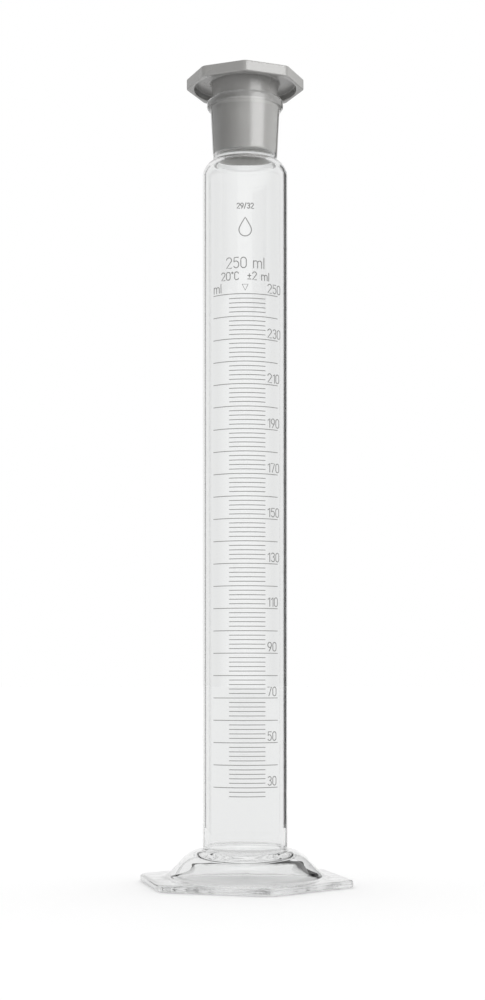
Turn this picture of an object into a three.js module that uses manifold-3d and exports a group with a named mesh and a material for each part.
// A 250 ml stoppered measuring cylinder, in millimetres, +Z up.
// The origin is the centre of the foot's underside, and the scale faces -Y.
//
// Three pieces: a glass tube with a dished end, a shoulder, a neck with a ground socket and a
// beaded rim; the pressed hexagonal foot that the tube is fused to; and a hollow stopper,
// moulded in one piece with its octagonal head.
import * as THREE from "three";
import { mergeVertices } from "three/addons/utils/BufferGeometryUtils.js";
import Module from "manifold-3d";

const wasm = await Module();
wasm.setup();

// ---- Driving dimensions -------------------------------------------------------------------

// Tube
const CAPACITY_ML = 250; // held up to the top graduation
const TUBE_DIAMETER = 38.8;
const TUBE_WALL = 1.6;
const DISH_DEPTH = 3.6; // how far the tube's end is dished, inside and out
const DISH_WALL = 1.9; // glass in the middle of the dish
const HEADSPACE = 57.3; // from the top graduation to the start of the shoulder

// Shoulder and neck
const SHOULDER_REACH = 10; // horizontal and vertical half-axes of the shoulder's ellipse
const SHOULDER_RISE = 8.5;
const SHOULDER_FILLET = 1.2; // hollow fillet between the shoulder and the neck
const NECK_LENGTH = 26.7; // from the top of that fillet to the rim
const NECK_WALL = 1.4;
const SOCKET_BORE = 29.2; // bore of the ground socket at the rim, for a 29/32 stopper
const SOCKET_EDGE = 0.8; // rounding where the socket opens into the tube
const TAPER = 1 / 10; // change of diameter with height, the same in the socket and on the plug
const LIP_PROJECTION = 1.4; // how far the bead round the rim stands out from the neck
const LIP_HEIGHT = 4.7;
const LIP_ROUND = 1.1; // radius of the bead's top edges

// Foot
const FOOT_FLATS = 89.5; // width across the flats of the hexagon
const FOOT_CORNER = 5.8; // plan radius at the hexagon's corners
const FOOT_PLATE = 3.6; // thickness of the hexagonal plate
const FOOT_BEVEL = 0.9; // rounding of the plate's edges
const FOOT_TURN = 13; // degrees that one corner stands round from the front, towards +X
const FOOT_HEIGHT = 15.8; // top of the bell, where it meets the tube
const BELL_CREASE = 39; // radius of the crease where the bell's flare leaves the plate
const BELL_WAIST_RADIUS = 30.4; // where the bell turns from its flare to its shoulder
const BELL_WAIST_HEIGHT = 10;
const BELL_SLOPE = 1.155; // rise over run there
const BELL_LEDGE = 2.2; // width of the flat ring between the shoulder and the tube
const HOLLOW_RADIUS = 34; // the hollow under the foot, at the bottom
const HOLLOW_TOP_RADIUS = 25; // and where its wall meets the rounding under the ceiling
const HOLLOW_HEIGHT = 10.4;
const HOLLOW_ROUND = 2.4;

// Stopper
const PLUG_DEPTH = 25.3; // how far the plug reaches below the rim
const PLUG_WALL = 1.5;
const PLUG_EDGE = 0.6; // rounding of the plug's lower edge
const PLUG_FLARE = 0.5; // extra radius of the plug where it joins the head
const HEAD_FLATS = 49.9; // width across the flats of the octagon
const HEAD_CORNER = 3.5; // plan radius at the octagon's corners
const HEAD_HEIGHT = 4.7;
const HEAD_BEVEL = 0.4;
const HEAD_LIFT = 5; // gap between the rim and the underside of the head
const HEAD_PLATE = 1.7; // thickness of the head above its recess
const HEAD_RIM = 1.6; // least width of the wall round the recess, at the flats
const HEAD_TURN = 0; // degrees that one corner stands round from the front, towards +X

// Clearances
const PLUG_CLEARANCE = 0.1; // between the plug and the ground socket, on the radius
const SEAM_GAP = 0.3; // between the tube and the foot, where the real glass is fused

// Smoothness
const SIDES = 40; // sides of every turned piece
const CURVE_STEPS = 4; // steps along each curve of a profile

// ---- Sizes that follow from them ----------------------------------------------------------

const tubeRadius = TUBE_DIAMETER / 2;
const boreRadius = tubeRadius - TUBE_WALL;

// The dished end rests in the foot, level with the top of the bell at its wall.
const dishRimZ = FOOT_HEIGHT - SEAM_GAP;
const dishBottomZ = dishRimZ - DISH_DEPTH;
const boreDishRimZ = dishRimZ + DISH_WALL;
const boreBottomZ = boreDishRimZ - DISH_DEPTH;

// A half ellipsoid holds two thirds of the cylinder round it, which sets the scale's zero.
const zeroZ = boreDishRimZ - (2 / 3) * DISH_DEPTH;
const scaleHeight = (CAPACITY_ML * 1000) / (Math.PI * boreRadius ** 2);
const shoulderZ = zeroZ + scaleHeight + HEADSPACE;

// The socket's radius follows its taper down from the rim, and the neck's outside runs parallel.
const socketRadiusBelow = (depth) => SOCKET_BORE / 2 - (depth * TAPER) / 2;
const neckRadiusBelow = (depth) => socketRadiusBelow(depth) + NECK_WALL;
const neckFootRadius = neckRadiusBelow(NECK_LENGTH);
const lipRadius = neckRadiusBelow(0) + LIP_PROJECTION;

// The shoulder is a quarter ellipse inside and out, and the neck stands on it.
const shoulderCentre = tubeRadius - SHOULDER_REACH;
const boreReach = SHOULDER_REACH - TUBE_WALL;
const boreRise = SHOULDER_RISE - TUBE_WALL;
const ellipseHeight = (across, reach, rise) => rise * Math.sqrt(1 - (across / reach) ** 2);
const neckZ =
  shoulderZ +
  ellipseHeight(neckFootRadius - shoulderCentre, SHOULDER_REACH, SHOULDER_RISE) +
  SHOULDER_FILLET;
const rimZ = neckZ + NECK_LENGTH;
const socketFootAcross = neckFootRadius - NECK_WALL + SOCKET_EDGE - shoulderCentre;
const socketFootZ = shoulderZ + ellipseHeight(socketFootAcross, boreReach, boreRise);

const plugBottomZ = rimZ - PLUG_DEPTH;
const plugRadiusAt = (z) => socketRadiusBelow(rimZ - z) - PLUG_CLEARANCE;
const headBottomZ = rimZ + HEAD_LIFT;
const headTopZ = headBottomZ + HEAD_HEIGHT;
const headCeilingZ = headTopZ - HEAD_PLATE;

// ---- Materials ----------------------------------------------------------------------------

const glass = new THREE.MeshStandardMaterial({
  color: 0xe6ecec,
  roughness: 0.03,
  metalness: 0,
  transparent: true,
  opacity: 0.35,
});
const polyethylene = new THREE.MeshStandardMaterial({
  color: 0xa9a8a6,
  roughness: 0.42,
  metalness: 0,
});

// ---- Making solids ------------------------------------------------------------------------

// A profile of (radius, height) points turned about the Z axis.
function turned(profile) {
  const geometry = new THREE.LatheGeometry(profile.getPoints(CURVE_STEPS), SIDES);
  return geometry.rotateX(Math.PI / 2);
}

function solidFrom(geometry) {
  const bare = geometry.index ? geometry.toNonIndexed() : geometry.clone();
  bare.deleteAttribute("normal");
  bare.deleteAttribute("uv");
  const merged = mergeVertices(bare, 1e-4);
  return new wasm.Manifold(
    new wasm.Mesh({
      numProp: 3,
      vertProperties: merged.attributes.position.array,
      triVerts: new Uint32Array(merged.index.array),
    }),
  );
}

function geometryFrom(solid) {
  const mesh = solid.getMesh();
  const geometry = new THREE.BufferGeometry();
  geometry.setAttribute("position", new THREE.BufferAttribute(mesh.vertProperties, 3));
  geometry.setIndex(new THREE.BufferAttribute(mesh.triVerts, 1));
  geometry.computeVertexNormals();
  return geometry;
}

// A regular polygon of the given width across its flats, one corner turned `turn` degrees from
// the front (-Y) towards +X, with its corners rounded in plan.
function polygonShape(sides, flats, corner, turn) {
  const half = Math.PI / sides;
  const centreDistance = (flats / 2 - corner) / Math.cos(half);
  const shape = new THREE.Shape();
  for (let i = 0; i < sides; i += 1) {
    const angle = THREE.MathUtils.degToRad(turn - 90) + 2 * half * i;
    shape.absarc(
      centreDistance * Math.cos(angle),
      centreDistance * Math.sin(angle),
      corner,
      angle - half,
      angle + half,
      false,
    );
  }
  shape.closePath();
  return shape;
}

// That polygon as a plate with its upper and lower edges rounded.
function polygonPlate(shape, z, height, bevel) {
  const geometry = new THREE.ExtrudeGeometry(shape, {
    depth: height - 2 * bevel,
    bevelThickness: bevel,
    bevelSize: bevel,
    bevelOffset: -bevel,
    bevelSegments: 2,
    curveSegments: 3,
  });
  return geometry.translate(0, 0, z + bevel);
}

// ---- Pieces -------------------------------------------------------------------------------

// Dished end, tube, shoulder, neck, beaded rim and ground socket, turned in one.
function tubeGeometry() {
  const lipBottomZ = rimZ - LIP_HEIGHT;
  const shoulderEnd = Math.acos(
    (neckFootRadius + SHOULDER_FILLET - shoulderCentre) / SHOULDER_REACH,
  );
  const socketFootAngle = Math.acos(socketFootAcross / boreReach);
  const socketEndZ = socketFootZ + SOCKET_EDGE;

  const p = new THREE.Path();
  p.moveTo(0, dishBottomZ);
  p.absellipse(0, dishRimZ, tubeRadius, DISH_DEPTH, -Math.PI / 2, 0, false, 0);
  p.lineTo(tubeRadius, shoulderZ);
  p.absellipse(
    shoulderCentre, shoulderZ, SHOULDER_REACH, SHOULDER_RISE, 0, shoulderEnd, false, 0,
  );
  p.quadraticCurveTo(neckFootRadius, neckZ - SHOULDER_FILLET, neckFootRadius, neckZ);
  p.lineTo(neckRadiusBelow(LIP_HEIGHT), lipBottomZ);
  p.quadraticCurveTo(lipRadius, lipBottomZ, lipRadius, lipBottomZ + LIP_HEIGHT / 3);
  p.lineTo(lipRadius, rimZ - LIP_ROUND);
  p.absarc(lipRadius - LIP_ROUND, rimZ - LIP_ROUND, LIP_ROUND, 0, Math.PI / 2, false);
  p.lineTo(SOCKET_BORE / 2 + LIP_ROUND / 2, rimZ);
  p.quadraticCurveTo(SOCKET_BORE / 2, rimZ, socketRadiusBelow(LIP_ROUND), rimZ - LIP_ROUND);
  p.lineTo(socketRadiusBelow(rimZ - socketEndZ), socketEndZ);
  p.lineTo(shoulderCentre + socketFootAcross, socketFootZ);
  p.absellipse(shoulderCentre, shoulderZ, boreReach, boreRise, socketFootAngle, 0, true, 0);
  p.lineTo(boreRadius, boreDishRimZ);
  p.absellipse(0, boreDishRimZ, boreRadius, DISH_DEPTH, 0, -Math.PI / 2, true, 0);
  return turned(p);
}

// Hexagonal plate and the bell that rises out of it, with the dished seat for the tube in its
// top and the hollow underneath.
function footGeometry() {
  const plate = polygonPlate(
    polygonShape(6, FOOT_FLATS, FOOT_CORNER, FOOT_TURN), 0, FOOT_PLATE, FOOT_BEVEL,
  );

  const shoulderInner = tubeRadius + BELL_LEDGE;
  const flarePull = BELL_WAIST_RADIUS + (BELL_WAIST_HEIGHT - FOOT_PLATE) / BELL_SLOPE;
  const shoulderPull = BELL_WAIST_RADIUS - (FOOT_HEIGHT - BELL_WAIST_HEIGHT) / BELL_SLOPE;
  const bell = new THREE.Path();
  bell.moveTo(0, FOOT_BEVEL);
  bell.lineTo(BELL_CREASE, FOOT_BEVEL);
  bell.lineTo(BELL_CREASE, FOOT_PLATE);
  bell.quadraticCurveTo(flarePull, FOOT_PLATE, BELL_WAIST_RADIUS, BELL_WAIST_HEIGHT);
  bell.quadraticCurveTo(shoulderPull, FOOT_HEIGHT, shoulderInner, FOOT_HEIGHT);
  bell.lineTo(0, FOOT_HEIGHT);

  const seatRadius = tubeRadius + SEAM_GAP;
  const seatRimZ = dishRimZ - SEAM_GAP;
  const seat = new THREE.Path();
  seat.moveTo(0, seatRimZ - DISH_DEPTH);
  seat.absellipse(0, seatRimZ, seatRadius, DISH_DEPTH, -Math.PI / 2, 0, false, 0);
  seat.lineTo(seatRadius, FOOT_HEIGHT + 1);
  seat.lineTo(0, FOOT_HEIGHT + 1);

  const hollow = new THREE.Path();
  hollow.moveTo(0, -1);
  hollow.lineTo(HOLLOW_RADIUS, -1);
  hollow.lineTo(HOLLOW_RADIUS, 0);
  hollow.lineTo(HOLLOW_TOP_RADIUS, HOLLOW_HEIGHT - HOLLOW_ROUND);
  hollow.quadraticCurveTo(
    HOLLOW_TOP_RADIUS - HOLLOW_ROUND, HOLLOW_HEIGHT,
    HOLLOW_TOP_RADIUS - 2 * HOLLOW_ROUND, HOLLOW_HEIGHT,
  );
  hollow.lineTo(0, HOLLOW_HEIGHT);

  const solid = solidFrom(plate)
    .add(solidFrom(turned(bell)))
    .subtract(solidFrom(turned(seat)))
    .subtract(solidFrom(turned(hollow)));
  return geometryFrom(solid);
}

// Octagonal head with a recess under it, and the hollow tapered plug that hangs from it, open
// at the bottom.
function stopperGeometry() {
  const head = polygonPlate(
    polygonShape(8, HEAD_FLATS, HEAD_CORNER, HEAD_TURN), headBottomZ, HEAD_HEIGHT, HEAD_BEVEL,
  );
  const recessRadius = HEAD_FLATS / 2 - HEAD_RIM;
  const recess = new THREE.Path();
  recess.moveTo(0, headBottomZ - 1);
  recess.lineTo(recessRadius, headBottomZ - 1);
  recess.lineTo(recessRadius, headCeilingZ);
  recess.lineTo(0, headCeilingZ);

  const rootRadius = plugRadiusAt(headCeilingZ) + PLUG_FLARE;
  const plug = new THREE.Path();
  plug.moveTo(0, plugBottomZ);
  plug.lineTo(plugRadiusAt(plugBottomZ) - PLUG_EDGE, plugBottomZ);
  plug.lineTo(plugRadiusAt(plugBottomZ + PLUG_EDGE), plugBottomZ + PLUG_EDGE);
  plug.lineTo(plugRadiusAt(rimZ), rimZ);
  plug.quadraticCurveTo(plugRadiusAt(headBottomZ), headBottomZ, rootRadius, headCeilingZ);
  plug.lineTo(rootRadius, headTopZ - HEAD_PLATE / 2);
  plug.lineTo(0, headTopZ - HEAD_PLATE / 2);

  const bore = new THREE.Path();
  bore.moveTo(0, plugBottomZ - 1);
  bore.lineTo(plugRadiusAt(plugBottomZ) - PLUG_WALL, plugBottomZ - 1);
  bore.lineTo(plugRadiusAt(plugBottomZ) - PLUG_WALL, plugBottomZ);
  bore.lineTo(plugRadiusAt(headCeilingZ) - PLUG_WALL, headCeilingZ);
  bore.lineTo(0, headCeilingZ);

  const solid = solidFrom(head)
    .subtract(solidFrom(turned(recess)))
    .add(solidFrom(turned(plug)))
    .subtract(solidFrom(turned(bore)));
  return geometryFrom(solid);
}

// ---- The assembly -------------------------------------------------------------------------

function piece(name, geometry, material) {
  const mesh = new THREE.Mesh(geometry, material);
  mesh.name = name;
  return mesh;
}

const cylinder = new THREE.Group();
cylinder.add(piece("glass_tube", tubeGeometry(), glass));
cylinder.add(piece("foot", footGeometry(), glass));
cylinder.add(piece("stopper", stopperGeometry(), polyethylene));
export default cylinder;
